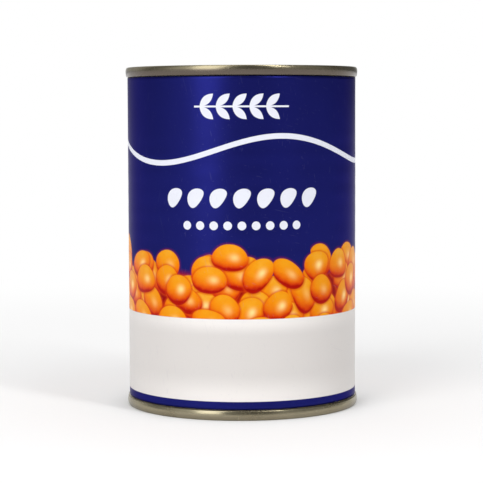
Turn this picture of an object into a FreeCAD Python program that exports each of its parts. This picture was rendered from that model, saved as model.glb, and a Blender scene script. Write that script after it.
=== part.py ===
"""A sealed steel food can with a wrapped paper label, as a parametric FreeCAD document.

The can stands on the XY plane with +Z up, and its axis is the Z axis. The front of the label faces -Y, and the
paper's glued lap is at the back, on +Y. Its pieces are the body, the two alike ends that are seamed to it, and the
label. The can is shut, so the body is solid: it stands for the thin steel wall and everything inside it.
"""

import FreeCAD, Part
import math
import operator
import os

import Sketcher
from FreeCAD import Placement, Rotation, Vector

# Driving dimensions, in millimetres and degrees. Each is written here once and lives in a cell of the spreadsheet.
SIZES = {
    "can_height": 110.0,
    "body_diameter": 74.2,
    # the double seam at each rim, where the end's curl is rolled round the body's flange
    "seam_overhang": 0.7,
    "seam_height": 3.1,
    "seam_thickness": 1.35,
    "crest_round": 0.45,
    "seam_foot_round": 0.4,
    # the sunken part of each end
    "chuck_wall_lean": 5.0,
    "panel_depth": 3.5,
    "channel_width": 1.4,
    "channel_side": 0.4,
    "panel_edge_round": 0.25,
    "back_skin": 0.3,
    # the pressed rings that let the end bulge and sink a little
    "ring_margin": 4.1,
    "ring_spacing": 5.5,
    "ring_width": 3.2,
    "ring_rise": 0.5,
    # the paper label and its glued lap
    "label_thickness": 0.1,
    "label_clearance": 0.2,
    "lap_width": 9.0,
}
RING_COUNT = 3
FULL_TURN = 360.0
SAME_PLACE = 1e-4
PARTS_FOLDER = "parts"

# In a sketch, geometry -1 is the X axis, whose point 1 is the origin, and geometry -2 is the Y axis.
X_AXIS, Y_AXIS = -1, -2
ORIGIN = (-1, 1)
START, END, CENTRE = 1, 2, 3

doc = FreeCAD.newDocument("FoodCan")


# ---- sizes ---------------------------------------------------------------------------------------------------


def make_sheet():
    """Puts every driving dimension in a cell, with its name as the alias."""
    sheet = doc.addObject("Spreadsheet::Sheet", "Sizes")
    for row, (name, value) in enumerate(SIZES.items(), start=1):
        sheet.set(f"A{row}", name)
        sheet.set(f"B{row}", str(value))
        sheet.setAlias(f"B{row}", name)
    doc.recompute()
    return sheet


class Size:
    """A length or angle worked out from cells: the expression that binds it, and its number as they stand."""

    def __init__(self, text, number):
        self.text = text
        self.number = number

    def joined(self, sign, other, work):
        """This size and another, or a plain number, joined by one arithmetic sign."""
        if not isinstance(other, Size):
            other = Size(str(other), other)
        return Size(f"({self.text} {sign} {other.text})", work(self.number, other.number))

    def __add__(self, other):
        return self.joined("+", other, operator.add)

    def __sub__(self, other):
        return self.joined("-", other, operator.sub)

    def __mul__(self, other):
        return self.joined("*", other, operator.mul)

    def __truediv__(self, other):
        return self.joined("/", other, operator.truediv)


def cell(name):
    """The size in one cell of the sheet."""
    return Size(f"Sizes.{name}", float(doc.Sizes.get(name)))


def tangent(angle):
    """The tangent of a size in degrees."""
    return Size(f"tan({angle.text} * 1 deg)", math.tan(math.radians(angle.number)))


make_sheet()

BODY_RADIUS = cell("body_diameter") / 2
SEAM_RADIUS = BODY_RADIUS + cell("seam_overhang")
CREST_INNER_RADIUS = SEAM_RADIUS - cell("seam_thickness")
CHANNEL_DROP = cell("panel_depth") + cell("channel_side")
WALL_FOOT_RADIUS = CREST_INNER_RADIUS - CHANNEL_DROP * tangent(cell("chuck_wall_lean"))
PANEL_RADIUS = WALL_FOOT_RADIUS - cell("channel_width")
END_DEPTH = CHANNEL_DROP + cell("channel_width") / 2 + cell("back_skin")
RING_HALF_WIDTH = cell("ring_width") / 2
OUTER_RING_RADIUS = PANEL_RADIUS - cell("ring_margin") - RING_HALF_WIDTH
RING_ARCH_RADIUS = (RING_HALF_WIDTH * RING_HALF_WIDTH / cell("ring_rise") + cell("ring_rise")) / 2
LABEL_FOOT = cell("seam_height") + cell("label_clearance")
LABEL_LENGTH = cell("can_height") - LABEL_FOOT * 2
LABEL_RADIUS = BODY_RADIUS + cell("label_thickness")
LAP_RADIUS = LABEL_RADIUS + cell("label_thickness")
LAP_TURN = cell("lap_width") / LABEL_RADIUS * (FULL_TURN / (2 * math.pi))


# ---- sketching -----------------------------------------------------------------------------------------------


def new_body(name):
    """An empty body. Its label is the sub-part's name."""
    body = doc.addObject("PartDesign::Body", name)
    body.Label = name
    return body


def new_sketch(body, name, role):
    """A sketch on one of its own body's origin planes, found by the plane's role."""
    sketch = body.newObject("Sketcher::SketchObject", f"{body.Name}_{name}")
    plane = next(f for f in body.Origin.OriginFeatures if f.Role == role)
    sketch.AttachmentSupport = [(plane, "")]
    sketch.MapMode = "FlatFace"
    return sketch


def add_circle(sketch, radius):
    """Draws a whole circle round the origin and binds its radius."""
    circle = sketch.addGeometry(Part.Circle(Vector(), Vector(0, 0, 1), radius.number))
    join(sketch, (circle, CENTRE), ORIGIN)
    bind(sketch, f"radius_{circle}", radius, "Radius", circle)


def bind(sketch, name, size, kind, *where):
    """Adds one dimension to a sketch under a name, and ties it to a size."""
    number = math.radians(size.number) if kind == "Angle" else size.number
    index = sketch.addConstraint(Sketcher.Constraint(kind, *where, number))
    sketch.renameConstraint(index, name)
    sketch.setExpression(f"Constraints.{name}", size.text)


def join(sketch, one, other):
    """Makes two points coincide, each given as (geometry, point)."""
    sketch.addConstraint(Sketcher.Constraint("Coincident", *one, *other))


def pin_point(sketch, name, point, radius, drop):
    """Holds a point at a radius from the axis and a drop below the origin. None for either puts it on an axis."""
    if radius is None:
        sketch.addConstraint(Sketcher.Constraint("PointOnObject", *point, Y_AXIS))
    else:
        bind(sketch, f"{name}_radius", radius, "DistanceX", *ORIGIN, *point)
    if drop is None:
        sketch.addConstraint(Sketcher.Constraint("PointOnObject", *point, X_AXIS))
    else:
        bind(sketch, f"{name}_drop", drop, "DistanceY", *point, *ORIGIN)


def place_of(radius, drop):
    """Where a point with that radius and drop lies in a sketch now."""
    across = 0.0 if radius is None else radius.number
    down = 0.0 if drop is None else drop.number
    return Vector(across, -down, 0)


def draw_section(sketch, corners, channel_after):
    """Draws a closed outline through named corners, each (name, radius, drop).

    Its edges are straight, except for the half circle of the channel's floor, which follows the corner named by
    channel_after and has its centre level with its two ends.
    """
    places = [place_of(radius, drop) for _, radius, drop in corners]
    starts, ends = [], []
    for index, (name, _, drop) in enumerate(corners):
        here, after = places[index], places[(index + 1) % len(corners)]
        if name == channel_after:
            circle = Part.Circle((here + after) / 2, Vector(0, 0, 1), (here - after).Length / 2)
            edge = sketch.addGeometry(Part.ArcOfCircle(circle, math.pi, 2 * math.pi))
            bind(sketch, "channel_centre_drop", drop, "DistanceY", edge, CENTRE, *ORIGIN)
            # a sketch's arcs run anticlockwise, so this one starts at the channel's inner side
            starts.append((edge, END))
            ends.append((edge, START))
        else:
            edge = sketch.addGeometry(Part.LineSegment(here, after))
            starts.append((edge, START))
            ends.append((edge, END))
    for index, (name, radius, drop) in enumerate(corners):
        join(sketch, ends[index - 1], starts[index])
        pin_point(sketch, name, starts[index], radius, drop)


# ---- features ------------------------------------------------------------------------------------------------


def turn(body, name, sketch):
    """Turns a section once round the sketch's upright axis."""
    feature = body.newObject("PartDesign::Revolution", f"{body.Name}_{name}")
    feature.Profile = sketch
    feature.ReferenceAxis = (sketch, ["V_Axis"])
    feature.Angle = FULL_TURN
    doc.recompute()
    return feature


def pad(body, name, sketch, length):
    """Raises a sketch upward by a length."""
    feature = body.newObject("PartDesign::Pad", f"{body.Name}_{name}")
    feature.Profile = sketch
    feature.setExpression("Length", length.text)
    doc.recompute()
    return feature


def circle_edges(feature, radius, drop):
    """The names of a feature's circular edges at one radius and one drop below its body's origin plane."""
    return [
        f"Edge{index}"
        for index, edge in enumerate(feature.Shape.Edges, start=1)
        if isinstance(edge.Curve, Part.Circle)
        and abs(edge.Curve.Radius - radius) < SAME_PLACE
        and abs(edge.Curve.Center.z + drop) < SAME_PLACE
    ]


def round_edges(body, name, base, places, size):
    """Rounds the circular edges at the given (radius, drop) places."""
    edges = []
    for radius, drop in places:
        place = place_of(radius, drop)
        found = circle_edges(base, place.x, -place.y)
        if not found:
            raise RuntimeError(f"{name}: no edge at radius {place.x:.2f}, drop {-place.y:.2f}")
        edges += found
    feature = body.newObject("PartDesign::Fillet", f"{body.Name}_{name}")
    feature.Base = (base, edges)
    feature.setExpression("Radius", size.text)
    doc.recompute()
    return feature


# ---- sub-parts -----------------------------------------------------------------------------------------------


def make_can_body():
    """The plain cylinder between the two ends."""
    body = new_body("can_body")
    sketch = new_sketch(body, "circle", "XY_Plane")
    add_circle(sketch, BODY_RADIUS)
    pad(body, "wall_and_contents", sketch, cell("can_height") - END_DEPTH * 2)
    body.setExpression("Placement.Base.z", END_DEPTH.text)
    return body


def add_ring(body, number):
    """Raises one pressed ring, a low arch in section, on an end's panel. Rings are counted from the outside."""
    centre = OUTER_RING_RADIUS - cell("ring_spacing") * number
    inner, outer = centre - RING_HALF_WIDTH, centre + RING_HALF_WIDTH
    inner_foot, outer_foot = (place_of(radius, cell("panel_depth")) for radius in (inner, outer))
    crown = place_of(centre, cell("panel_depth") - cell("ring_rise"))
    arch_centre = crown - Vector(0, RING_ARCH_RADIUS.number, 0)
    circle = Part.Circle(arch_centre, Vector(0, 0, 1), RING_ARCH_RADIUS.number)
    first, last = (circle.parameter(foot) for foot in (outer_foot, inner_foot))
    sketch = new_sketch(body, f"ring_section_{number}", "XZ_Plane")
    arch = sketch.addGeometry(Part.ArcOfCircle(circle, first, last))
    base = sketch.addGeometry(Part.LineSegment(inner_foot, outer_foot))
    join(sketch, (arch, END), (base, START))
    join(sketch, (base, END), (arch, START))
    pin_point(sketch, "inner_foot", (base, START), inner, cell("panel_depth"))
    pin_point(sketch, "outer_foot", (base, END), outer, cell("panel_depth"))
    bind(sketch, "arch_radius", RING_ARCH_RADIUS, "Radius", arch)
    return turn(body, f"ring_{number}", sketch)


def make_end(name):
    """One can end: the rolled seam, the chuck wall, the countersunk channel and the panel with its rings.

    The seam's crest lies in the body's own XY plane and the rest hangs below it. Behind its skin the end is solid
    down to a flat back, which meets the can's body face to face.
    """
    body = new_body(name)
    sketch = new_sketch(body, "section", "XZ_Plane")
    corners = [
        ("back_centre", None, END_DEPTH),
        ("back_edge", BODY_RADIUS, END_DEPTH),
        ("seam_root", BODY_RADIUS, cell("seam_height")),
        ("seam_foot", SEAM_RADIUS, cell("seam_height")),
        ("crest_outer", SEAM_RADIUS, None),
        ("crest_inner", CREST_INNER_RADIUS, None),
        ("wall_foot", WALL_FOOT_RADIUS, CHANNEL_DROP),
        ("channel_inner", PANEL_RADIUS, CHANNEL_DROP),
        ("panel_edge", PANEL_RADIUS, cell("panel_depth")),
        ("panel_centre", None, cell("panel_depth")),
    ]
    draw_section(sketch, corners, channel_after="wall_foot")
    latest = turn(body, "blank", sketch)
    for number in range(RING_COUNT):
        latest = add_ring(body, number)
    crest = [(SEAM_RADIUS, None), (CREST_INNER_RADIUS, None)]
    seam_foot = [(SEAM_RADIUS, cell("seam_height"))]
    panel_edge = [(PANEL_RADIUS, cell("panel_depth"))]
    latest = round_edges(body, "crest", latest, crest, cell("crest_round"))
    latest = round_edges(body, "foot", latest, seam_foot, cell("seam_foot_round"))
    round_edges(body, "lip", latest, panel_edge, cell("panel_edge_round"))
    return body


def make_top_end():
    """The end whose crest is the can's top."""
    body = make_end("top_end")
    body.setExpression("Placement.Base.z", "Sizes.can_height")
    return body


def make_bottom_end():
    """The same end turned over, so that the can stands on its crest."""
    body = make_end("bottom_end")
    body.Placement = Placement(Vector(), Rotation(Vector(1, 0, 0), FULL_TURN / 2))
    return body


def add_lap(body):
    """The second layer of paper at the back, where the label's end is glued over its beginning."""
    right = Size("90", 90.0) - LAP_TURN / 2
    left = right + LAP_TURN
    first, last = math.radians(right.number), math.radians(left.number)
    sketch = new_sketch(body, "lap_section", "XY_Plane")
    arcs = []
    for radius in (LABEL_RADIUS, LAP_RADIUS):
        circle = Part.Circle(Vector(), Vector(0, 0, 1), radius.number)
        arc = sketch.addGeometry(Part.ArcOfCircle(circle, first, last))
        join(sketch, (arc, CENTRE), ORIGIN)
        bind(sketch, f"radius_{arc}", radius, "Radius", arc)
        arcs.append(arc)
    inner, outer = arcs
    for angle, side in ((right, START), (left, END)):
        ray = Vector(math.cos(math.radians(angle.number)), math.sin(math.radians(angle.number)), 0)
        line = sketch.addGeometry(Part.LineSegment(ray * LABEL_RADIUS.number, ray * LAP_RADIUS.number))
        join(sketch, (line, START), (inner, side))
        join(sketch, (line, END), (outer, side))
        sketch.addConstraint(Sketcher.Constraint("PointOnObject", *ORIGIN, line))
        bind(sketch, f"angle_{line}", angle, "Angle", line)
    return pad(body, "lap", sketch, LABEL_LENGTH)


def make_label():
    """The sheet of paper round the can, from just clear of one seam to just clear of the other."""
    body = new_body("label")
    sketch = new_sketch(body, "wrap_section", "XY_Plane")
    add_circle(sketch, BODY_RADIUS)
    add_circle(sketch, LABEL_RADIUS)
    pad(body, "wrap", sketch, LABEL_LENGTH)
    add_lap(body)
    body.setExpression("Placement.Base.z", LABEL_FOOT.text)
    return body


# ---- checks and files ----------------------------------------------------------------------------------------


def check_document(bodies):
    """Stops if any object failed to compute, or a sub-part isn't one closed, valid solid."""
    failed = [o.Name for o in doc.Objects if {"Invalid", "Error"} & set(o.State)]
    if failed:
        raise RuntimeError(f"these objects failed: {failed}")
    for sketch in doc.findObjects("Sketcher::SketchObject"):
        if sketch.solve() != 0:
            raise RuntimeError(f"sketch {sketch.Name} has no solution")
        if not sketch.FullyConstrained:
            raise RuntimeError(f"sketch {sketch.Name} is loose")
    for body in bodies:
        shape = body.Shape
        if shape.isNull() or not shape.isValid() or len(shape.Solids) != 1 or shape.Volume <= 0:
            raise RuntimeError(f"{body.Label} isn't one valid solid")


def write_parts(bodies):
    """Writes each sub-part to a STEP file with its label's name."""
    os.makedirs(PARTS_FOLDER, exist_ok=True)
    for body in bodies:
        body.Shape.exportStep(os.path.join(PARTS_FOLDER, f"{body.Label}.step"))
        box = body.Shape.optimalBoundingBox()
        height = f"z {box.ZMin:.2f} to {box.ZMax:.2f}"
        print(f"{body.Label}: {height}, width {box.XLength:.2f} by {box.YLength:.2f}, {body.Shape.Volume:.1f} mm3")


sub_parts = [make_can_body(), make_top_end(), make_bottom_end(), make_label()]
doc.recompute()
check_document(sub_parts)
write_parts(sub_parts)
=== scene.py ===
# %% [markdown]
# # A can of beans in a paper label
# This lesson dresses a sealed steel food can. Its measured solids come in as a fixed frame: a cylinder, two alike
# ends that are rolled onto it as double seams, and a paper label. The solids say where everything is. Blender
# adds what the eye reads as a real can: the soft corners of the rolled seams, paper that shows its thickness and
# its glued lap, printed ink, and tinned steel with a fine grain.

# %% The tools and the frame
import math

import bmesh
import bpy
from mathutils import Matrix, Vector, noise


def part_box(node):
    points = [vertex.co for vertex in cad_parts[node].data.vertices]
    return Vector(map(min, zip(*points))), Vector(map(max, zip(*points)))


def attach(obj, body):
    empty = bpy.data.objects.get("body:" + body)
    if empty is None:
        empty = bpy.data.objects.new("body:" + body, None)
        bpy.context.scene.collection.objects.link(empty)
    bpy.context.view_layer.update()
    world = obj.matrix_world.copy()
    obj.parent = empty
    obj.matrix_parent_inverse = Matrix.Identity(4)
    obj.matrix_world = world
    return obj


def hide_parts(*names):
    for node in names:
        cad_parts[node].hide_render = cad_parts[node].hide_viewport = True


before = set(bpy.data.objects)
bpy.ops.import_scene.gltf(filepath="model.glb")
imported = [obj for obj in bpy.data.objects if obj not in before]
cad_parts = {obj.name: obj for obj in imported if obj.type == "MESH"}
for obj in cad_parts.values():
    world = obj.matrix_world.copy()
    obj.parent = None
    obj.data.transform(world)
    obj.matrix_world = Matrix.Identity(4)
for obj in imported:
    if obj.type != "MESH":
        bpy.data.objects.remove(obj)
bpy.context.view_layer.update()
MM = 0.001
scene = bpy.context.scene
scene.view_settings.view_transform = "Standard"
print("the solids:", sorted(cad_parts))

# %% [markdown]
# ## Measures
# Places come from the solids, so that a change there moves everything here. What the solids don't say, such as the
# seam's soft corners, is written down once in millimetres, the unit that can makers use.

# %% Places taken from the frame
_, body_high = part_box("can_body")
label_low, label_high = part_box("label")
top_low, top_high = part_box("top_end")
body_radius = body_high.x / MM
seam_radius = top_high.x / MM
can_height = top_high.z / MM
end_depth = (top_high.z - top_low.z) / MM
label_radius = label_high.x / MM
label_foot = label_low.z / MM
label_head = label_high.z / MM
paper_thickness = label_radius - body_radius
print(f"body {body_radius:.2f}, seam {seam_radius:.2f}, label {label_radius:.2f}, height {can_height:.1f} mm")

# %% [markdown]
# ## The camera
# A long lens from the height of the can's shoulder shows the can almost square on, with only a slight curve to its
# rims. It comes first, because every later choice is judged through it.

# %% Camera
CAMERA_DISTANCE = 574.5
CAMERA_HEIGHT = 96.2
CAMERA_LENS = 130.4
CAMERA_DOWN = math.radians(4.30)
CAMERA_ROLL = math.radians(0.20)


def make_camera():
    """A long-lens camera in front of the can, tilted down a little and turned a hair about its own axis."""
    data = bpy.data.cameras.new("camera")
    data.lens = CAMERA_LENS
    camera = bpy.data.objects.new("camera", data)
    camera.location = Vector((0, -CAMERA_DISTANCE, CAMERA_HEIGHT)) * MM
    camera.rotation_euler = (math.pi / 2 - CAMERA_DOWN, CAMERA_ROLL, 0)
    scene.collection.objects.link(camera)
    scene.camera = camera


make_camera()
print("the camera stands", round(CAMERA_DISTANCE), "mm in front")

# %% [markdown]
# ## Meshes from rings and rows
# Every piece of a can is a grid: rows of points that follow each other round the axis or along the sheet. One
# helper builds a mesh from such rows, so that each piece below only has to say where its points are.

# %% A mesh from rows of points
JOIN_DISTANCE = 0.001


def grid_faces(rows, columns, closed):
    """The quads between neighbouring rows of a grid, whose last column may join its first."""
    faces = []
    for row in range(rows - 1):
        for column in range(columns if closed else columns - 1):
            after = (column + 1) % columns
            low, high = row * columns, (row + 1) * columns
            faces.append((low + column, low + after, high + after, high + column))
    return faces


def mesh_from_rows(name, rows, closed=True):
    """A smooth mesh through rows of points in millimetres."""
    points = [Vector(point) * MM for row in rows for point in row]
    mesh = bpy.data.meshes.new(name)
    mesh.from_pydata(points, [], grid_faces(len(rows), len(rows[0]), closed))
    mesh.shade_smooth()
    piece = bpy.data.objects.new(name, mesh)
    scene.collection.objects.link(piece)
    return piece


def join_doubles(piece):
    """Joins the points that fall on each other, at a pole or where two cut edges meet."""
    mesh = bmesh.new()
    mesh.from_mesh(piece.data)
    bmesh.ops.remove_doubles(mesh, verts=mesh.verts, dist=JOIN_DISTANCE * MM)
    bmesh.ops.dissolve_degenerate(mesh, edges=mesh.edges, dist=JOIN_DISTANCE * MM)
    mesh.to_mesh(piece.data)
    mesh.free()


# %% [markdown]
# ## The two ends
# A can's end is one pressed disc. From the outside in, it has the seam, where its rim and the body's flange are
# folded together, a leaning chuck wall, a narrow channel, and a panel with pressed rings that let it bulge while
# the can is cooked. It could be a stack of primitives, but one outline turned round the axis is how the press
# makes it, and it gives the soft corners that catch the light.

# %% Sizes of an end
SEAM_HEIGHT = 3.1
SEAM_THICKNESS = 1.35
CREST_ROUND = 0.45
CREST_REACH = 0.55
CREST_FALL = 1.3
SEAM_LEAN = 0.16
FOOT_ROUND = 0.4
CHUCK_LEAN = math.radians(5)
PANEL_DEPTH = 3.5
CHANNEL_WIDTH = 1.4
CHANNEL_SIDE = 0.4
PANEL_EDGE_ROUND = 0.25
RING_COUNT = 3
RING_MARGIN = 4.1
RING_SPACING = 5.5
RING_WIDTH = 3.2
RING_RISE = 0.5
RING_SHARPNESS = 1.4
PANEL_STEP = 0.4
WALL_STEPS = 6

crest_inner_radius = seam_radius - SEAM_THICKNESS
channel_drop = PANEL_DEPTH + CHANNEL_SIDE
wall_foot_radius = crest_inner_radius - channel_drop * math.tan(CHUCK_LEAN)
panel_radius = wall_foot_radius - CHANNEL_WIDTH
print(f"the panel is {2 * panel_radius:.1f} mm across")

# %% The outline of an end


def arc(centre, radii, start, end, steps=7):
    """Points along an oval's arc, from one angle to another in degrees, as (radius from axis, height)."""
    angles = [math.radians(start + (end - start) * step / steps) for step in range(steps + 1)]
    return [(centre[0] + radii[0] * math.cos(a), centre[1] + radii[1] * math.sin(a)) for a in angles]


def panel_height(radius):
    """The panel's height at a radius: flat, with a low smooth swell on each pressed ring."""
    height = -PANEL_DEPTH
    for ring in range(RING_COUNT):
        middle = panel_radius - RING_MARGIN - RING_WIDTH / 2 - ring * RING_SPACING
        away = abs(radius - middle) / (RING_WIDTH / 2)
        if away < 1:
            height += RING_RISE * math.cos(away * math.pi / 2) ** RING_SHARPNESS
    return height


def end_outline():
    """The end's outline from the panel's centre to the middle of its flat back, with the crest at height 0."""
    flat_radius = panel_radius - PANEL_EDGE_ROUND
    steps = round(flat_radius / PANEL_STEP)
    panel = [(flat_radius * step / steps, panel_height(flat_radius * step / steps)) for step in range(steps)]
    edge = arc((flat_radius, -PANEL_DEPTH - PANEL_EDGE_ROUND), (PANEL_EDGE_ROUND, PANEL_EDGE_ROUND), 90, 0, 4)
    channel_round = CHANNEL_WIDTH / 2
    channel = arc((panel_radius + channel_round, -channel_drop), (channel_round, channel_round), 180, 360, 10)
    inner_crest = arc((crest_inner_radius + CREST_ROUND, -CREST_ROUND), (CREST_ROUND, CREST_ROUND), 180, 90)
    outer_crest = arc((seam_radius - CREST_REACH, -CREST_FALL), (CREST_REACH, CREST_FALL), 90, 0, 12)
    foot_height = -SEAM_HEIGHT + FOOT_ROUND
    wall = []
    for step in range(1, WALL_STEPS):
        along = step / WALL_STEPS
        wall.append((seam_radius - SEAM_LEAN * along * along, -CREST_FALL + (foot_height + CREST_FALL) * along))
    foot = arc((seam_radius - SEAM_LEAN - FOOT_ROUND, foot_height), (FOOT_ROUND, FOOT_ROUND), 0, -90)
    root = [(body_radius, -SEAM_HEIGHT), (body_radius, -end_depth), (0, -end_depth)]
    return panel + edge + channel + inner_crest + outer_crest + wall + foot + root


# %% Turning the outline
END_SEGMENTS = 240
SEAM_WAVER = 0.03
NOISE_REACH = 1.3
TOP_SEED = 3.1
BOTTOM_SEED = 7.7


def waver(turn, radius, seed):
    """How far the rolled seam strays at one place on the rim: nothing on the panel, most at the outside."""
    share = max(0.0, (radius - panel_radius) / (seam_radius - panel_radius))
    place = Vector((math.cos(turn), math.sin(turn), seed)) * NOISE_REACH
    return share * SEAM_WAVER * noise.noise(place)


def make_end(name, crest_height, up, seed):
    """Turns the outline round the axis. up is 1 for the top end and -1 for the bottom one."""
    rows = []
    for radius, height in end_outline():
        row = []
        for segment in range(END_SEGMENTS):
            turn = 2 * math.pi * segment / END_SEGMENTS * up
            reach = radius + waver(turn, radius, seed)
            row.append((reach * math.cos(turn), reach * math.sin(turn), crest_height + up * height))
        rows.append(row)
    piece = mesh_from_rows(name, rows)
    join_doubles(piece)
    return piece


top = make_end("pressed_top_end", can_height, 1, TOP_SEED)
bottom = make_end("pressed_bottom_end", 0.0, -1, BOTTOM_SEED)
print("each end has", len(top.data.polygons), "faces")

# %% [markdown]
# ## The label
# A can's label is one sheet, printed flat, wrapped round the body and glued where its end laps over its
# beginning. A plain tube would do for the front, but it can't show the lap, so the sheet is built as it is made:
# flat coordinates along and up the paper, then a wrap round the can. The flat coordinates are kept as a UV map,
# which the printed design reads later, so the print really meets its own edge at the lap.

# %% Sizes of the sheet
LAP_WIDTH = 9.0
LAP_RISE_LENGTH = 1.6
SHEET_COLUMNS = 400
SHEET_ROWS = 118
SHEET_MARGIN = 0.01
FLAT_MAP = "flat_sheet"
BEAD_PITCH = 6.2
BEAD_SWELL = 0.022
BEADS_BEGIN = (34, 44)
BEADS_END = (84, 94)
PAPER_WAVE = 0.035
WAVE_ROUND = 1.7
WAVE_TALL = 26
FLAT_EDGE_ROWS = 5
CUT_DEPTH_SHARE = 0.9

label_height = label_head - label_foot
cut_depth = paper_thickness * CUT_DEPTH_SHARE
sheet_length = 2 * math.pi * label_radius + LAP_WIDTH
print(f"the sheet is {sheet_length:.0f} by {label_height:.0f} mm")

# %% How the paper lies


def smooth(value, low, high):
    """0 below low, 1 above high, and a smooth rise between them."""
    share = min(1.0, max(0.0, (value - low) / (high - low)))
    return share * share * (3 - 2 * share)


def lap_rise(along):
    """The step outward where the sheet's end climbs onto its beginning. along runs from 0 to the sheet's length."""
    climb = sheet_length - LAP_WIDTH
    return paper_thickness * smooth(along, climb - LAP_RISE_LENGTH, climb)


def paper_swell(along, height):
    """Small uneven waves in the paper, and the body's rolled beads showing faintly through its middle."""
    turn = along / label_radius
    place = Vector((math.cos(turn) * WAVE_ROUND, math.sin(turn) * WAVE_ROUND, height / WAVE_TALL))
    wave = PAPER_WAVE * noise.noise(place)
    beaded = smooth(height, *BEADS_BEGIN) * (1 - smooth(height, *BEADS_END))
    unevenness = 0.6 + 0.8 * noise.noise(place * 2.3 + Vector((5, 0, 0)))
    bead = BEAD_SWELL * beaded * unevenness * math.sin(2 * math.pi * height / BEAD_PITCH)
    return wave + bead


def sheet_point(column, row, depth=0.0):
    """The place of one point of the wrapped sheet, depth millimetres below its printed face."""
    along = sheet_length * column / SHEET_COLUMNS
    height = label_foot + label_height * row / SHEET_ROWS
    turn = (along - sheet_length / 2) / label_radius
    near_edge = smooth(min(row, SHEET_ROWS - row), 0, FLAT_EDGE_ROWS)
    reach = label_radius + lap_rise(along) + near_edge * paper_swell(along, height) - depth
    return (reach * math.sin(turn), -reach * math.cos(turn), height)


# %% Wrapping the sheet


def make_label():
    """The printed face of the sheet, with its cut edge as short walls at the foot, the head and the lap's end."""
    face = [[sheet_point(c, r) for c in range(SHEET_COLUMNS + 1)] for r in range(SHEET_ROWS + 1)]
    foot_edge = [sheet_point(c, 0, cut_depth) for c in range(SHEET_COLUMNS + 1)]
    head_edge = [sheet_point(c, SHEET_ROWS, cut_depth) for c in range(SHEET_COLUMNS + 1)]
    rows = [foot_edge, *face, head_edge]
    for row, points in enumerate(rows):
        level = min(max(row - 1, 0), SHEET_ROWS)
        points.append(sheet_point(SHEET_COLUMNS, level, cut_depth))
    return mesh_from_rows("wrapped_label", rows, closed=False)


def write_flat_map(piece):
    """Gives every corner its place on the flat sheet, from 0 to 1, with the cut edges in a narrow margin."""
    columns = SHEET_COLUMNS + 2
    flat = piece.data.uv_layers.new(name=FLAT_MAP)
    for loop in piece.data.loops:
        row, column = divmod(loop.vertex_index, columns)
        along = min(column / SHEET_COLUMNS, 1.0)
        up = min(max((row - 1) / SHEET_ROWS, 0.0), 1.0)
        across = SHEET_MARGIN + (1 - 2 * SHEET_MARGIN) * along
        rise = SHEET_MARGIN + (1 - 2 * SHEET_MARGIN) * up
        if column > SHEET_COLUMNS:
            across = 1.0
        if row == 0:
            rise = 0.0
        if row > SHEET_ROWS + 1:
            rise = 1.0
        flat.uv[loop.index].vector = (across, rise)


label = make_label()
write_flat_map(label)
join_doubles(label)
print("the label has", len(label.data.polygons), "faces")

# %% [markdown]
# ## Writing nodes as formulas
# A Math node does one sum, so a shape drawn in nodes soon needs dozens. A small class lets them be written as
# ordinary formulas: each operator adds its node and links it. The node trees stay plain Blender nodes, and can be
# opened and changed by hand.

# %% Signals


def plug(value, socket):
    """Links a signal or a socket to an input, or types a plain value into it."""
    if isinstance(value, Signal):
        value = value.socket
    if isinstance(value, bpy.types.NodeSocket):
        socket.id_data.links.new(value, socket)
    else:
        socket.default_value = value


class Signal:
    """A number or colour that changes over the surface: the output of a node, ready for a formula."""

    def __init__(self, socket):
        self.socket = socket
        self.tree = socket.id_data

    def math(self, operation, *others):
        """One Math node, whose first input is this signal."""
        return math_node(self.tree, operation, self, *others)

    def __add__(self, other):
        return self.math("ADD", other)

    def __sub__(self, other):
        return self.math("SUBTRACT", other)

    def __mul__(self, other):
        return self.math("MULTIPLY", other)

    def __truediv__(self, other):
        return self.math("DIVIDE", other)

    def __pow__(self, other):
        return self.math("POWER", other)

    def size(self):
        """How large it is, whatever its sign."""
        return self.math("ABSOLUTE")

    def rest(self):
        """What is left up to 1."""
        return math_node(self.tree, "SUBTRACT", 1.0, self)


def math_node(tree, operation, *terms):
    """One Math node, as a signal."""
    node = tree.nodes.new("ShaderNodeMath")
    node.operation = operation
    for term, socket in zip(terms, node.inputs):
        plug(term, socket)
    return Signal(node.outputs[0])


# %% Other nodes as functions


def add_node(tree, kind, inputs=None, **settings):
    """One node of any kind, with its settings and its inputs by name."""
    node = tree.nodes.new(kind)
    for name, value in settings.items():
        setattr(node, name, value)
    for name, value in (inputs or {}).items():
        plug(value, node.inputs[name])
    return node


def rise(signal, low, high):
    """A mask: 0 where the signal is below low, 1 above high. With low above high it falls instead."""
    inputs = {"Value": signal, "From Min": low, "From Max": high}
    node = add_node(signal.tree, "ShaderNodeMapRange", inputs, interpolation_type="SMOOTHSTEP")
    return Signal(node.outputs[0])


def parts(vector):
    """The three parts of a vector or colour."""
    node = add_node(vector.tree, "ShaderNodeSeparateXYZ", {"Vector": vector})
    return [Signal(output) for output in node.outputs]


def vector_of(x, y):
    """A vector from two parts, with nothing in its third."""
    node = add_node(x.tree, "ShaderNodeCombineXYZ", {"X": x, "Y": y})
    return Signal(node.outputs[0])


def mixed(factor, under, over):
    """One colour laid over another."""
    node = factor.tree.nodes.new("ShaderNodeMix")
    node.data_type = "RGBA"
    plug(factor, node.inputs["Factor"])
    plug(under, node.inputs[6])
    plug(over, node.inputs[7])
    return Signal(node.outputs[2])


def ramp(signal, stops):
    """A colour ramp through (place, colour) stops."""
    node = add_node(signal.tree, "ShaderNodeValToRGB", {"Fac": signal})
    elements = node.color_ramp.elements
    while len(elements) < len(stops):
        elements.new(1.0)
    for element, (place, colour) in zip(elements, stops):
        element.position = place
        element.color = colour
    return Signal(node.outputs[0])


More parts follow.
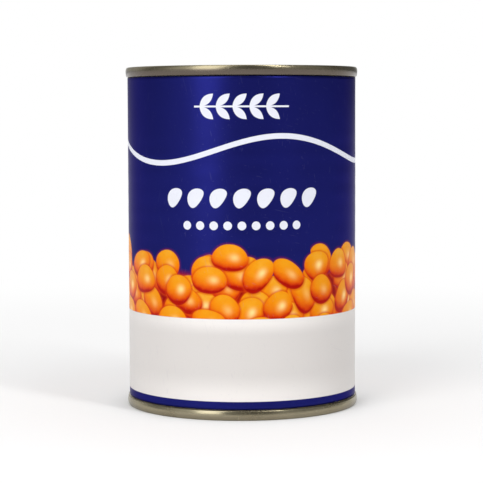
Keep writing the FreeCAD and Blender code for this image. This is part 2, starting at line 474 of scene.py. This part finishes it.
def noise_at(vector, scale, detail=2.0, roughness=0.5):
    """A noise pattern's value."""
    inputs = {"Vector": vector, "Scale": scale, "Detail": detail, "Roughness": roughness}
    return Signal(add_node(vector.tree, "ShaderNodeTexNoise", inputs).outputs[0])


def srgb(red, green, blue):
    """A colour given as 0 to 255 on screen, turned into the linear colour that nodes use."""
    def linear(part):
        part /= 255
        return part / 12.92 if part <= 0.04045 else ((part + 0.055) / 1.055) ** 2.4
    return (linear(red), linear(green), linear(blue), 1.0)


# %% Node groups


def new_group(name, inputs, outputs):
    """An empty shader node group. inputs and outputs are {socket name: (kind, default)}."""
    tree = bpy.data.node_groups.new(name, "ShaderNodeTree")
    for way, sockets in (("INPUT", inputs), ("OUTPUT", outputs)):
        for label_text, (kind, default) in sockets.items():
            socket = tree.interface.new_socket(label_text, in_out=way, socket_type=f"NodeSocket{kind}")
            if default is not None:
                socket.default_value = default
    entry = tree.nodes.new("NodeGroupInput")
    result = tree.nodes.new("NodeGroupOutput")
    given = {socket.name: Signal(socket) for socket in entry.outputs if socket.name}
    return tree, given, result.inputs


def use_group(tree, group, **values):
    """Places a group in a tree and returns its outputs. A value's name has _ where its socket has a space."""
    node = tree.nodes.new("ShaderNodeGroup")
    node.node_tree = group
    for name, value in values.items():
        plug(value, node.inputs[name.replace("_", " ").title()])
    return {output.name: Signal(output) for output in node.outputs}


print("helpers ready")

# %% [markdown]
# ## Printed shapes
# The design is printed ink, so it is drawn flat on the sheet, in millimetres across and up. It could be painted as
# an image, but drawn in nodes it stays sharp at any distance, and every measure can be changed. The first group
# turns the sheet's UV map into millimetres, with 0 across at the middle of the front.

# %% Group: place on the sheet


def build_sheet_place():
    """Millimetres across from the front's middle, and up from the can's foot."""
    tree, _, result = new_group("place on the sheet", {}, {"Across": ("Float", None), "Up": ("Float", None)})
    flat = add_node(tree, "ShaderNodeUVMap", uv_map=FLAT_MAP)
    across, up, _ = parts(Signal(flat.outputs[0]))
    shown = 1 - 2 * SHEET_MARGIN
    plug((across - 0.5) * (sheet_length / shown), result["Across"])
    plug((up - SHEET_MARGIN) * (label_height / shown) + label_foot, result["Up"])
    return tree


sheet_place = build_sheet_place()
print("group:", sheet_place.name)

# %% [markdown]
# ## A row of small marks
# Labels carry rows of simple ornaments. One group draws a row: it repeats across, keeps only the marks near the
# middle, turns each one, and bends it a little. Ovals, bean shapes and leaves are all the same sum with another
# value of Point: 2 gives round ends and 1 gives a leaf's sharp tips.

# %% Group: row of marks


def build_mark_row():
    """A mask of equal marks in a row round the middle of the front."""
    inputs = {
        "Across": ("Float", 0.0), "Up": ("Float", 0.0), "Row Height": ("Float", 0.0), "Pitch": ("Float", 8.0),
        "Count": ("Float", 7.0), "Half Length": ("Float", 3.0), "Half Width": ("Float", 2.0),
        "Tilt": ("Float", 0.0), "Bend": ("Float", 0.0), "Point": ("Float", 2.0),
    }
    tree, given, result = new_group("row of marks", inputs, {"Mask": ("Float", None)})
    place = (given["Across"] / given["Pitch"] + 0.5).math("FLOOR")
    inside = place.size().math("LESS_THAN", given["Count"] / 2)
    x = given["Across"] - place * given["Pitch"]
    y = given["Up"] - given["Row Height"]
    cosine, sine = given["Tilt"].math("COSINE"), given["Tilt"].math("SINE")
    along = (x * cosine + y * sine) / given["Half Length"]
    aside = (y * cosine - x * sine) / given["Half Width"] + given["Bend"] * (along * along - 0.4)
    shape = along * along + aside.size() ** given["Point"]
    plug(rise(shape, 1.06, 0.94) * inside, result["Mask"])
    return tree


mark_row = build_mark_row()
print("group:", mark_row.name)

# %% [markdown]
# ## A printed heap of beans
# The picture on the label is a heap of beans in sauce. Real beans modelled in relief would be wrong, because the
# paper is flat. So the heap is layers of flat shaded ovals. A Voronoi texture scatters one oval in each of its
# cells, and gives each its own random turn and size. Each layer is laid over the last, with a soft dark edge round
# its ovals, which reads as the shadow between beans.

# %% Group: top line of the heap
HEAP_FOOT = 31.6
HEAP_TOP = 50.2
FOOT_BLUR = 0.08
# waves along the heap's top: how many go round the can, where each starts in radians, how far each swings
HEAP_WAVES = [(2, 0.5, -0.8), (5, 2.3, 1.1), (9, 0.9, 1.1)]


def build_heap_line():
    """The height of the heap's uneven top at a place across, meant for the middles of its beans."""
    tree, given, result = new_group("heap line", {"Across": ("Float", 0.0)}, {"Up": ("Float", None)})
    turns = 2 * math.pi / sheet_length
    first, *others = [
        (given["Across"] * (count * turns) + start).math("SINE") * swing for count, start, swing in HEAP_WAVES
    ]
    for wave in others:
        first = first + wave
    plug(first + HEAP_TOP, result["Up"])
    return tree


heap_line = build_heap_line()
print("group:", heap_line.name)

# %% Group: one layer of beans
BEAN_CELL = 13.2
BEAN_HALF_LENGTH = 5.4
BEAN_HALF_WIDTH = 4.35
BEAN_STRAY = 0.45
TURN_SPREAD = 2.6
LENGTH_SPREAD = 1.6
WIDTH_SPREAD = (-0.8, 0.5)
BEND_CENTRE = 0.35
BEND_AMOUNT = 0.5
BEAN_SQUARENESS = 2.2
BEAN_EDGE = (1.04, 0.95)
SHADOW_EDGE = (1.20, 0.97)
SHADOW_DEPTH = (0.30, 0.42)
LIT_UP, LIT_TOWARD, LIT_RIGHT, LIT_BASE = 0.50, 0.46, 0.06, 0.12
LUMP_SCALE = 0.42
LUMP_AMOUNT = 0.26
TONE_SPREAD = 0.14
GLINT_UP, GLINT_RIGHT, GLINT_TOWARD = 0.02, 0.22, 0.975
GLINT_TIGHTNESS = 26.0
GLINT_SPREAD = (0.6, 0.2)
OUTLINE = srgb(200, 58, 2)
HALO = srgb(128, 12, 20)
HIGHLIGHT = srgb(254, 224, 152)
BEAN_TONES = [
    (0.00, srgb(164, 16, 1)),
    (0.14, srgb(204, 58, 2)),
    (0.34, srgb(224, 106, 3)),
    (0.56, srgb(230, 133, 5)),
    (0.78, srgb(231, 151, 20)),
    (0.92, srgb(232, 164, 46)),
    (1.00, srgb(234, 178, 84)),
]


def build_bean_layer():
    """One bean in each cell, shaded as if lit from above, over the colour and cover of the layers below."""
    inputs = {
        "Across": ("Float", 0.0), "Up": ("Float", 0.0), "Shift": ("Vector", (0, 0, 0)),
        "Under Colour": ("Color", (0, 0, 0, 1)), "Under Cover": ("Float", 0.0),
    }
    outputs = {"Colour": ("Color", None), "Cover": ("Float", None)}
    tree, given, result = new_group("layer of printed beans", inputs, outputs)
    shift_x, shift_y, _ = parts(given["Shift"])
    place = vector_of(given["Across"] + shift_x, given["Up"] + shift_y)
    cells = add_node(
        tree, "ShaderNodeTexVoronoi", {"Vector": place, "Scale": 1 / BEAN_CELL, "Randomness": BEAN_STRAY},
        voronoi_dimensions="2D",
    )
    middle_x, middle_y, _ = parts(Signal(cells.outputs["Position"]))
    chance_turn, chance_size, chance_tone = parts(Signal(cells.outputs["Color"]))
    x = given["Across"] + shift_x - middle_x
    y = given["Up"] + shift_y - middle_y

    turn = (chance_turn - 0.5) * TURN_SPREAD
    cosine, sine = turn.math("COSINE"), turn.math("SINE")
    half_length = (chance_size - 0.5) * LENGTH_SPREAD + BEAN_HALF_LENGTH
    half_width = (chance_size - 0.5) * WIDTH_SPREAD[0] + (chance_tone - 0.5) * WIDTH_SPREAD[1] + BEAN_HALF_WIDTH
    along = (x * cosine + y * sine) / half_length
    aside = (y * cosine - x * sine) / half_width
    aside = aside + (along * along - BEND_CENTRE) * (chance_tone - BEND_CENTRE) * BEND_AMOUNT
    spread = along.size() ** BEAN_SQUARENESS + aside * aside
    reach = spread.math("SQRT")

    heap = use_group(tree, heap_line, Across=middle_x - shift_x)["Up"]
    present = (middle_y - shift_y).math("LESS_THAN", heap)
    bean = rise(reach, *BEAN_EDGE) * present
    edge = rise(reach, *SHADOW_EDGE) * present

    toward_viewer = spread.rest().math("MAXIMUM", 0.0).math("SQRT")
    facing_up = along * sine + aside * cosine
    facing_right = along * cosine - aside * sine
    light = facing_up * LIT_UP + toward_viewer * LIT_TOWARD + facing_right * LIT_RIGHT + LIT_BASE
    lumps = noise_at(place, LUMP_SCALE) - 0.5
    tones = ramp(light + lumps * LUMP_AMOUNT + (chance_tone - 0.5) * TONE_SPREAD, BEAN_TONES)
    mirrored = facing_up * GLINT_UP + facing_right * GLINT_RIGHT + toward_viewer * GLINT_TOWARD
    glint = mirrored.math("MAXIMUM", 0.0) ** GLINT_TIGHTNESS
    glint = glint * (chance_turn * GLINT_SPREAD[0] + GLINT_SPREAD[1])
    lit = mixed(glint, tones, HIGHLIGHT)

    depth = edge * (given["Under Cover"] * SHADOW_DEPTH[0] + SHADOW_DEPTH[1])
    shaded = mixed(depth, given["Under Colour"], mixed(given["Under Cover"], HALO, OUTLINE))
    plug(mixed(bean, shaded, lit), result["Colour"])
    plug(bean.math("MAXIMUM", given["Under Cover"]).math("MAXIMUM", depth), result["Cover"])
    return tree


bean_layer = build_bean_layer()
print("group:", bean_layer.name)

# %% Group: the whole heap
LAYER_STEPS = [(3.5, 2.0), (5.0, 1.5), (11.25, 8.75), (7.5, 4.5), (9.0, 6.0)]
SAUCE_DROPS = (3.5, 6.5)
SAUCE_SCALE = 0.25
SAUCE = srgb(160, 8, 3)
DEEP_SAUCE = srgb(122, 4, 2)


def build_bean_heap():
    """All the layers over the sauce, cut off straight along the heap's foot."""
    inputs = {"Across": ("Float", 0.0), "Up": ("Float", 0.0)}
    outputs = {"Colour": ("Color", None), "Cover": ("Float", None)}
    tree, given, result = new_group("heap of printed beans", inputs, outputs)
    across, up = given["Across"], given["Up"]
    line = use_group(tree, heap_line, Across=across)["Up"]
    cover = rise(line - up, *SAUCE_DROPS)
    colour = mixed(noise_at(vector_of(across, up), SAUCE_SCALE), DEEP_SAUCE, SAUCE)
    for step_x, step_y in LAYER_STEPS:
        shift = (step_x * BEAN_CELL, step_y * BEAN_CELL, 0.0)
        layer = use_group(
            tree, bean_layer, Across=across, Up=up, Shift=shift, Under_Colour=colour, Under_Cover=cover,
        )
        colour, cover = layer["Colour"], layer["Cover"]
    plug(colour, result["Colour"])
    plug(cover * rise(up, HEAP_FOOT - FOOT_BLUR, HEAP_FOOT + FOOT_BLUR), result["Cover"])
    return tree


bean_heap = build_bean_heap()
print("group:", bean_heap.name, "with", len(LAYER_STEPS), "layers")

# %% [markdown]
# ## The white ornament
# Above the heap, the blue holds white ornament: a row of bean shapes, a row of dots, a waving line right round the
# can, and a sprig of leaves. It has no letters. Everything is placed by its height and its pitch.

# %% Group: ornament
WAVE_HEIGHT = 84.0
WAVE_SWING = 4.2
WAVE_COUNT = 3
WAVE_HALF_WIDTH = 0.85
WAVE_START = 0.6
WAVE_BLUR = 0.07
BEAN_ROW = {"Row_Height": 69.2, "Pitch": 7.4, "Count": 7.0, "Half_Length": 3.3, "Half_Width": 2.3, "Tilt": 0.95,
            "Bend": 0.30}
DOT_ROW = {"Row_Height": 60.6, "Pitch": 4.4, "Count": 9.0, "Half_Length": 1.35, "Half_Width": 1.35}
LEAF = {"Pitch": 5.2, "Half_Length": 2.9, "Half_Width": 1.25, "Point": 1.0, "Count": 5.0}
SPRIG_HEIGHT = 97.3
SPRIG_HALF_LENGTH = 15.0
STEM_HALF_WIDTH = 0.28
STEM_BLUR = 0.06
LEAF_SHIFT = 0.6
LEAF_RISE = 2.0
LEAF_TILT = 0.72


def build_ornament():
    """A mask of everything that is printed white on the blue above the heap."""
    inputs = {"Across": ("Float", 0.0), "Up": ("Float", 0.0)}
    tree, given, result = new_group("white ornament", inputs, {"Mask": ("Float", None)})
    across, up = given["Across"], given["Up"]
    swing = (across * (2 * math.pi * WAVE_COUNT / sheet_length) + WAVE_START).math("SINE") * WAVE_SWING
    off_line = (up - swing - WAVE_HEIGHT).size()
    wave = rise(off_line, WAVE_HALF_WIDTH + WAVE_BLUR, WAVE_HALF_WIDTH - WAVE_BLUR)
    masks = [wave]
    for row in (BEAN_ROW, DOT_ROW):
        masks.append(use_group(tree, mark_row, Across=across, Up=up, **row)["Mask"])
    for side in (1, -1):
        masks.append(use_group(
            tree, mark_row, Across=across + LEAF_SHIFT, Up=up, Row_Height=SPRIG_HEIGHT + side * LEAF_RISE,
            Tilt=side * LEAF_TILT, **LEAF,
        )["Mask"])
    stem = rise((up - SPRIG_HEIGHT).size(), STEM_HALF_WIDTH + STEM_BLUR, STEM_HALF_WIDTH - STEM_BLUR)
    masks.append(stem * across.size().math("LESS_THAN", SPRIG_HALF_LENGTH))
    total = masks[0]
    for mask in masks[1:]:
        total = total.math("MAXIMUM", mask)
    plug(total, result["Mask"])
    return tree


ornament = build_ornament()
print("group:", ornament.name)

# %% [markdown]
# ## The whole print
# The sheet has three fields: a deep blue ground, the heap with a pale band below it, and a thin blue stripe at the
# foot. They meet along straight lines at fixed heights. The pale band is a little lighter at its top and foot.

# %% Group: printed sheet
STRIPE_TOP = 5.86
BLUE = srgb(29, 33, 113)
DEEP_BLUE = srgb(28, 30, 98)
PALE = srgb(210, 206, 203)
PALE_MARGIN = srgb(232, 228, 225)
INK_WHITE = srgb(221, 223, 233)
STRIPE_BLUR = 0.06
GROUND_SCALE = 0.035
UNDER_HEAP = (5.5, 0.8)
OVER_STRIPE = (9.0, 0.8)
FRONT_REACH = (46.0, 8.0)
MARGIN_FRONT, MARGIN_REST = 0.75, 0.25


def build_print():
    """The printed colour of the sheet, and a mask of where the ink is blue."""
    outputs = {"Colour": ("Color", None), "Blue": ("Float", None)}
    tree, _, result = new_group("printed sheet", {}, outputs)
    place = use_group(tree, sheet_place)
    across, up = place["Across"], place["Up"]
    ground = mixed(noise_at(vector_of(across, up), GROUND_SCALE), DEEP_BLUE, BLUE)
    heap = use_group(tree, bean_heap, Across=across, Up=up)
    white = use_group(tree, ornament, Across=across, Up=up)["Mask"]
    upper = mixed(heap["Cover"], mixed(white, ground, INK_WHITE), heap["Colour"])
    above_band = rise(up, HEAP_FOOT - FOOT_BLUR, HEAP_FOOT + FOOT_BLUR)
    above_stripe = rise(up, STRIPE_TOP - STRIPE_BLUR, STRIPE_TOP + STRIPE_BLUR)
    under_heap = rise(up, HEAP_FOOT - UNDER_HEAP[0], HEAP_FOOT - UNDER_HEAP[1])
    over_stripe = rise(up, STRIPE_TOP + OVER_STRIPE[0], STRIPE_TOP + OVER_STRIPE[1])
    front = rise(across.size(), *FRONT_REACH)
    margin = under_heap.math("MAXIMUM", over_stripe) * (front * MARGIN_FRONT + MARGIN_REST)
    field = mixed(margin, PALE, PALE_MARGIN)
    lower = mixed(above_stripe, ground, field)
    plug(mixed(above_band, lower, upper), result["Colour"])
    band = above_stripe * above_band.rest()
    inked = white.math("MAXIMUM", heap["Cover"]) * above_band
    plug(inked.math("MAXIMUM", band).rest(), result["Blue"])
    return tree


printed_sheet = build_print()
print("group:", printed_sheet.name)

# %% [markdown]
# ## Wear that paper and metal share
# Cans rub against each other in their tray. Fine scratches run every way over both the metal and the paper, so one
# group draws them, and each material chooses how strong they are.

# %% Group: fine scratches
SCRATCH_TURNS = (0.35, 1.9, 2.6, 4.1)
SCRATCH_SIZE = (0.022, 0.0005, 0.0005)
SCRATCH_EDGE = (0.70, 0.76)


def build_scratches():
    """A mask of thin, short, nearly straight scratches that cross each other."""
    inputs = {"Fineness": ("Float", 1.0), "Amount": ("Float", 0.5)}
    tree, given, result = new_group("fine scratches", inputs, {"Mask": ("Float", None)})
    place = Signal(add_node(tree, "ShaderNodeTexCoord").outputs["Object"])
    total = None
    for turn in SCRATCH_TURNS:
        inputs = {"Vector": place, "Rotation": (turn, turn * 0.7, turn), "Scale": SCRATCH_SIZE}
        stretched = add_node(tree, "ShaderNodeMapping", inputs, vector_type="TEXTURE")
        streaks = noise_at(Signal(stretched.outputs[0]), given["Fineness"], 2.0, 0.4)
        mask = rise(streaks, *SCRATCH_EDGE)
        total = mask if total is None else total.math("MAXIMUM", mask)
    plug(total * given["Amount"], result["Mask"])
    return tree


scratches = build_scratches()
print("group:", scratches.name)

# %% [markdown]
# ## Tinned steel
# A can is made of steel sheet with a thin coat of tin and a clear lacquer, which warms its colour. It shines, but
# the rollers that made the sheet leave a fine grain in it, so its reflections are soft and drawn out one way. A
# noise texture stretched along one direction gives that grain to the roughness and to a very shallow bump.

# %% Material: tinplate
TIN = srgb(160, 152, 127)
TIN_DULL = srgb(140, 130, 103)
TIN_BRIGHT = srgb(196, 188, 168)
# painted shade: a dark tin colour laid on the seams' outer walls where they face down, more on the top seam than
# the bottom one
FOLD_PAINTED_SHADE = srgb(98, 88, 82)
GRAIN_STRETCH = (60.0, 2400.0, 2400.0)
PATCH_EDGE = (0.40, 0.72)
PAINTED_SHADE_FACING = (0.14, -0.10)
PAINTED_SHADE_BOTTOM = 0.3
PAINTED_SHADE_MORE_ON_TOP = 0.6


def new_material(name):
    """A material with just its Principled shader."""
    material = bpy.data.materials.new(name)
    material.use_nodes = True
    return material, material.node_tree, material.node_tree.nodes["Principled BSDF"]


def make_tinplate():
    """Bright warm tin with a rolled grain, fine scratches, dulled patches, and painted shade on the seams' outer
    walls where they face down.
    """
    material, tree, shader = new_material("tinplate")
    place = Signal(add_node(tree, "ShaderNodeTexCoord").outputs["Object"])
    rolled = add_node(tree, "ShaderNodeMapping", {"Vector": place, "Scale": GRAIN_STRETCH})
    grain = noise_at(Signal(rolled.outputs[0]), 1.0, 3.0)
    patches = rise(noise_at(place, 55.0, 4.0, 0.6), *PATCH_EDGE)
    worn = use_group(tree, scratches, Fineness=1.0, Amount=0.6)["Mask"]
    _, _, facing_up = parts(Signal(add_node(tree, "ShaderNodeNewGeometry").outputs["Normal"]))
    x, y, height = parts(place)
    outside = (x * x + y * y).math("SQRT").math("GREATER_THAN", (seam_radius - SEAM_THICKNESS / 2) * MM)
    amount = height.math("GREATER_THAN", can_height / 2 * MM) * PAINTED_SHADE_MORE_ON_TOP + PAINTED_SHADE_BOTTOM
    colour = mixed(patches * 0.55 + grain * 0.12, TIN, TIN_DULL)
    colour = mixed(worn * 0.5, colour, TIN_BRIGHT)
    # painted shade: the outer seam walls turn darker where they face down, standing in for shade under the seam
    painted_shade = rise(facing_up, *PAINTED_SHADE_FACING) * outside * amount
    plug(mixed(painted_shade, colour, FOLD_PAINTED_SHADE), shader.inputs["Base Color"])
    plug(patches * 0.08 + grain * 0.10 + worn * 0.10 + 0.17, shader.inputs["Roughness"])
    shader.inputs["Metallic"].default_value = 1.0
    bump = add_node(tree, "ShaderNodeBump", {"Height": grain - worn * 0.5, "Strength": 0.12, "Distance": 0.00004})
    plug(Signal(bump.outputs[0]), shader.inputs["Normal"])
    return material


tinplate = make_tinplate()
print("material:", tinplate.name)

# %% [markdown]
# ## Printed paper
# The label is coated paper: the ink lies in a thin satin coat, smoother than plain paper and duller than metal. The
# blue ink has a faint metallic depth, so its highlight stays blue where white ink's would be white. The cut edge
# shows the bare paper, so it has a material of its own.

# %% Material: printed paper
WORN_INK = srgb(120, 122, 160)
WORN_STRENGTH = 0.14


def make_printed_paper():
    """The satin printed face of the label."""
    material, tree, shader = new_material("printed_paper")
    design = use_group(tree, printed_sheet)
    place = Signal(add_node(tree, "ShaderNodeTexCoord").outputs["Object"])
    fibres = noise_at(place, 900.0, 3.0, 0.6)
    cockle = noise_at(place, 70.0, 2.0)
    worn = use_group(tree, scratches, Fineness=0.8, Amount=0.5)["Mask"]
    plug(mixed(worn * WORN_STRENGTH, design["Colour"], WORN_INK), shader.inputs["Base Color"])
    plug(fibres * 0.08 + worn * 0.10 + 0.29, shader.inputs["Roughness"])
    plug(design["Blue"] * 0.80, shader.inputs["Metallic"])
    shader.inputs["Specular Tint"].default_value = (0.48, 0.45, 0.62, 1.0)
    shader.inputs["Specular IOR Level"].default_value = 0.08
    height = cockle * 0.7 + fibres * 0.12 - worn * 0.06
    bump = add_node(tree, "ShaderNodeBump", {"Height": height, "Strength": 0.35, "Distance": 0.00018})
    plug(Signal(bump.outputs[0]), shader.inputs["Normal"])
    return material


printed_paper = make_printed_paper()
print("material:", printed_paper.name)

# %% Material: cut paper
CUT_SHADE = srgb(214, 210, 204)
CUT_PALE = srgb(240, 238, 234)


def make_cut_paper():
    """The bare, slightly fibrous edge of the sheet."""
    material, tree, shader = new_material("cut_paper")
    place = Signal(add_node(tree, "ShaderNodeTexCoord").outputs["Object"])
    fibres = noise_at(place, 1500.0, 3.0, 0.6)
    plug(mixed(fibres, CUT_SHADE, CUT_PALE), shader.inputs["Base Color"])
    plug(fibres * 0.2 + 0.7, shader.inputs["Roughness"])
    return material


cut_paper = make_cut_paper()
print("material:", cut_paper.name)

# %% [markdown]
# ## Dressing the pieces
# The cylinder keeps its own measured mesh and gets the tin material. The pressed ends and the label take the place
# of their plain solids. Each piece gets its materials and is told which body it rides on.

# %% Materials onto pieces
can_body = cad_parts["can_body"]


def set_materials(piece, *materials):
    """Replaces a piece's materials."""
    piece.data.materials.clear()
    for material in materials:
        piece.data.materials.append(material)


def mark_cut_edges(piece):
    """Gives the faces of the sheet's cut edges the second material: the ones in the flat map's margin."""
    flat = piece.data.uv_layers[FLAT_MAP].uv
    for face in piece.data.polygons:
        places = [flat[loop].vector for loop in face.loop_indices]
        outside = any(min(place.x, place.y, 1 - place.y) < SHEET_MARGIN / 2 or place.x > 1 - SHEET_MARGIN / 2
                      for place in places)
        face.material_index = 1 if outside else 0


for piece, node in ((top, "top_end"), (bottom, "bottom_end")):
    set_materials(piece, tinplate)
    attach(piece, "root")
    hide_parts(node)
set_materials(can_body, tinplate)
set_materials(label, printed_paper, cut_paper)
mark_cut_edges(label)
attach(label, "root")
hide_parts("label")
print("pieces dressed")

# %% [markdown]
# ## Light
# Shiny metal shows what stands round it, so the surroundings matter as much as the lamps. A big soft box to the
# left front gives the can its upright highlight. The world is soft and even for plain light. For reflections it is
# shaped like a small studio: white behind the can, dark straight in front and out to the sides, and grey between.

# %% Lamps


def make_area_lamp(name, turn, height, distance, size, watts):
    """A rectangular soft lamp that faces the can. turn is in degrees from the front, to the right if positive."""
    data = bpy.data.lights.new(name, "AREA")
    data.shape = "RECTANGLE"
    data.size, data.size_y = size
    data.energy = watts
    lamp = bpy.data.objects.new(name, data)
    angle = math.radians(turn)
    lamp.location = (distance * math.sin(angle), -distance * math.cos(angle), height)
    aim = Vector((0, 0, can_height * MM / 2)) - lamp.location
    lamp.rotation_euler = aim.to_track_quat("-Z", "Y").to_euler()
    scene.collection.objects.link(lamp)
    return lamp


key = make_area_lamp("key_soft_box", -33, 0.53, 0.80, (0.43, 1.06), 3.8)
kicker = make_area_lamp("small_strip", 42, 0.92, 0.75, (0.13, 0.90), 3.0)
overhead = make_area_lamp("overhead_soft_box", 170, 1.15, 0.25, (0.9, 0.9), 2.4)
print("lamps:", key.name, kicker.name, overhead.name)

# %% World
SOFT_LEVEL = 0.68
# how bright the studio looks in reflections, by the direction in degrees from the front
SURROUND_TONES = [
    (-180, 1.00), (-170, 1.00), (-160, 0.40), (-135, 0.52), (-120, 0.48), (-106, 0.16), (-84, 0.30), (-64, 0.72),
    (-45, 0.64), (-22, 0.26), (4, 0.13), (28, 0.15), (42, 0.50), (60, 0.28), (84, 0.28), (104, 0.14), (128, 0.14),
    (150, 0.12), (162, 0.30), (172, 1.00), (180, 1.00),
]


def make_world():
    """Even light for plain surfaces, a studio's tones for reflections, and pure white behind for the camera."""
    world = bpy.data.worlds.new("soft_studio")
    world.use_nodes = True
    tree = world.node_tree
    shader = tree.nodes["Background"]
    direction = Signal(add_node(tree, "ShaderNodeTexCoord").outputs["Generated"])
    x, y, _ = parts(direction)
    from_front = math_node(tree, "ARCTAN2", x, y * -1.0)
    stops = [(turn / 360 + 0.5, (tone, tone, tone, 1.0)) for turn, tone in SURROUND_TONES]
    studio = ramp(from_front * (0.5 / math.pi) + 0.5, stops)
    rays = add_node(tree, "ShaderNodeLightPath")
    glossy = Signal(rays.outputs["Is Glossy Ray"])
    seen = Signal(rays.outputs["Is Camera Ray"]).math("MAXIMUM", Signal(rays.outputs["Is Transmission Ray"]))
    soft = (SOFT_LEVEL, SOFT_LEVEL, SOFT_LEVEL, 1.0)
    plug(mixed(seen, mixed(glossy, soft, studio), (1.0, 1.0, 1.0, 1.0)), shader.inputs["Color"])
    scene.world = world


make_world()
print("world ready")

# %% [markdown]
# ## The floor
# The can stands on a wide pale sheet. Near the can the floor is an ordinary matt surface, so it takes the can's
# soft shadow. Further out it fades into plain white for the camera, so that no horizon shows.

# %% Floor
FLOOR_RADIUS = 6.0
SHADOW_REACH = (0.10, 0.42)
FLOOR_DROP = 0.02


def make_floor():
    """A round pale floor just under the can."""
    mesh = bpy.data.meshes.new("floor")
    shape = bmesh.new()
    bmesh.ops.create_circle(shape, cap_ends=True, radius=FLOOR_RADIUS, segments=96)
    shape.to_mesh(mesh)
    shape.free()
    floor = bpy.data.objects.new("floor", mesh)
    floor.location.z = -FLOOR_DROP * MM
    scene.collection.objects.link(floor)
    material, tree, shader = new_material("pale_floor")
    shader.inputs["Base Color"].default_value = (0.88, 0.88, 0.88, 1.0)
    shader.inputs["Roughness"].default_value = 0.9
    shader.inputs["Specular IOR Level"].default_value = 0.1
    place = add_node(tree, "ShaderNodeTexCoord").outputs["Object"]
    length = add_node(tree, "ShaderNodeVectorMath", {"Vector": place}, operation="LENGTH")
    away = rise(Signal(length.outputs["Value"]), *SHADOW_REACH)
    rays = add_node(tree, "ShaderNodeLightPath")
    seen = Signal(rays.outputs["Is Camera Ray"])
    for kind in ("Is Glossy Ray", "Is Transmission Ray"):
        seen = seen.math("MAXIMUM", Signal(rays.outputs[kind]))
    white = add_node(tree, "ShaderNodeEmission", {"Color": (1.0, 1.0, 1.0, 1.0), "Strength": 1.0})
    blend = tree.nodes.new("ShaderNodeMixShader")
    plug(away * seen, blend.inputs[0])
    plug(shader.outputs[0], blend.inputs[1])
    plug(white.outputs[0], blend.inputs[2])
    plug(blend.outputs[0], tree.nodes["Material Output"].inputs["Surface"])
    floor.data.materials.append(material)


make_floor()
print("floor laid")
